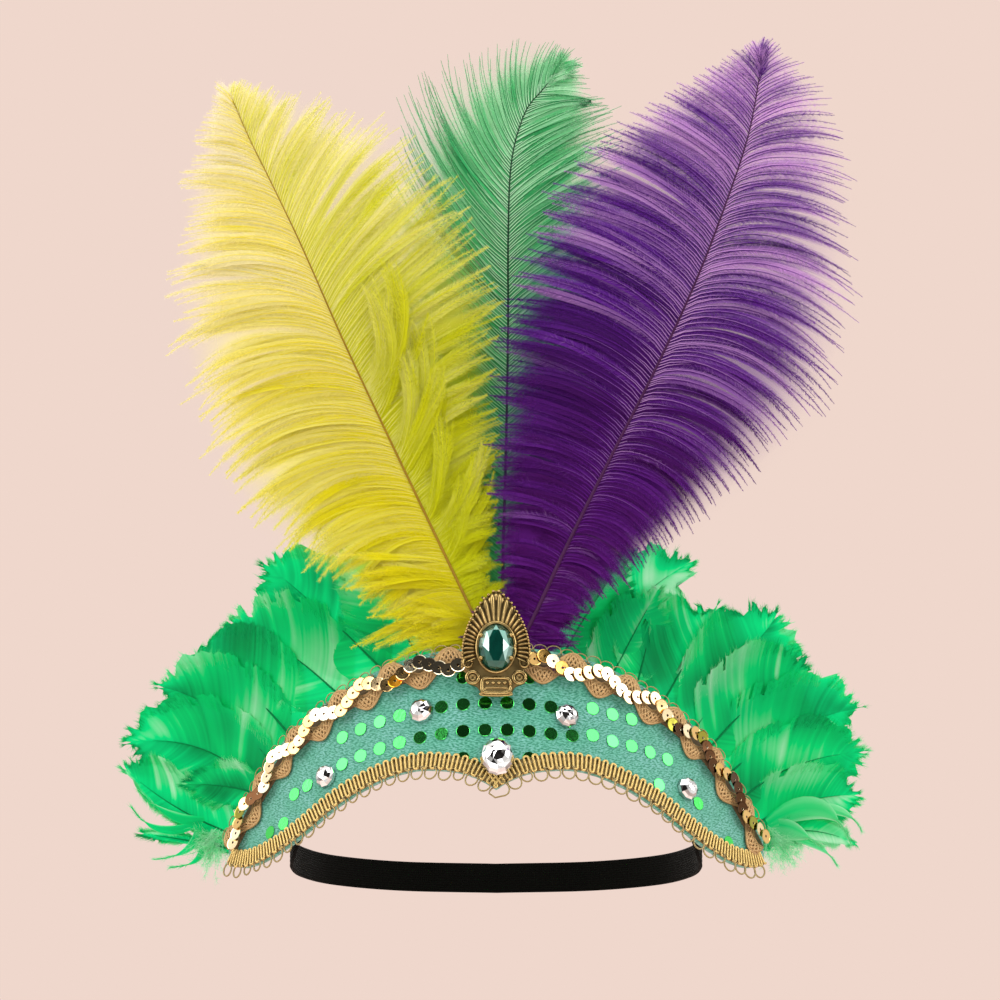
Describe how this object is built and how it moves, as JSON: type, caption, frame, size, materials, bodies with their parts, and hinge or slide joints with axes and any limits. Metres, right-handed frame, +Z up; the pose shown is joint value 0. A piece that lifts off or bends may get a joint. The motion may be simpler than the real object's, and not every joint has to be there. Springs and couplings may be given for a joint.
{
  "type": "carnival feather headdress",
  "caption": "Bowed crescent headband in sequinned cloth with gold braid, paste stones and a brooch, tall plumes and fanned side feathers, closed behind the head by an elastic strap.",
  "frame": {"origin": "middle of the head opening, level with the two ends of the band", "axes": "+Z up along the plumes, +Y towards the back of the head, +X to the viewer's right as the front is seen"},
  "size_m": [0.2496, 0.1326, 0.2903],
  "materials": {
    "sequinned_cloth": "knitted cloth with foil dots",
    "gold_braid": "metallic thread",
    "gold_sequin": "metallised cup sequins",
    "clear_stone": "clear faceted acrylic, foiled back",
    "antique_brass": "antique stamped",
    "green_stone": "dark green faceted acrylic",
    "black_elastic": "woven elastic",
    "quill": "dyed feather quill",
    "purple_plumage": "dyed ostrich barbs",
    "yellow_plumage": "dyed ostrich barbs",
    "green_plumage": "dyed ostrich barbs",
    "side_feather_green": "dyed soft feather"
  },
  "bodies": {
    "root": {"band": "sequinned_cloth", "braid_top": "gold_braid", "braid_low": "gold_braid", "sequins_left": "gold_sequin", "sequins_right": "gold_sequin", "stone_inner_left": "clear_stone", "stone_inner_right": "clear_stone", "stone_outer_left": "clear_stone", "stone_outer_right": "clear_stone", "stone_centre_drop": "clear_stone", "brooch_setting": "antique_brass", "brooch_stone": "green_stone", "elastic_strap": "black_elastic", "plume_purple_quill": "quill", "plume_purple_vane_left": "purple_plumage", "plume_purple_vane_right": "purple_plumage", "plume_yellow_quill": "quill", "plume_yellow_vane_left": "yellow_plumage", "plume_yellow_vane_right": "yellow_plumage", "plume_green_quill": "quill", "plume_green_vane_left": "green_plumage", "plume_green_vane_right": "green_plumage", "feather_left_1": "side_feather_green", "feather_left_2": "side_feather_green", "feather_left_3": "side_feather_green", "feather_left_4": "side_feather_green", "feather_left_5": "side_feather_green", "feather_left_6": "side_feather_green", "feather_left_7": "side_feather_green", "feather_right_1": "side_feather_green", "feather_right_2": "side_feather_green", "feather_right_3": "side_feather_green", "feather_right_4": "side_feather_green", "feather_right_5": "side_feather_green", "feather_right_6": "side_feather_green", "feather_right_7": "side_feather_green", "feather_right_8": "side_feather_green", "feather_right_9": "side_feather_green"}
  },
  "joints": []
}
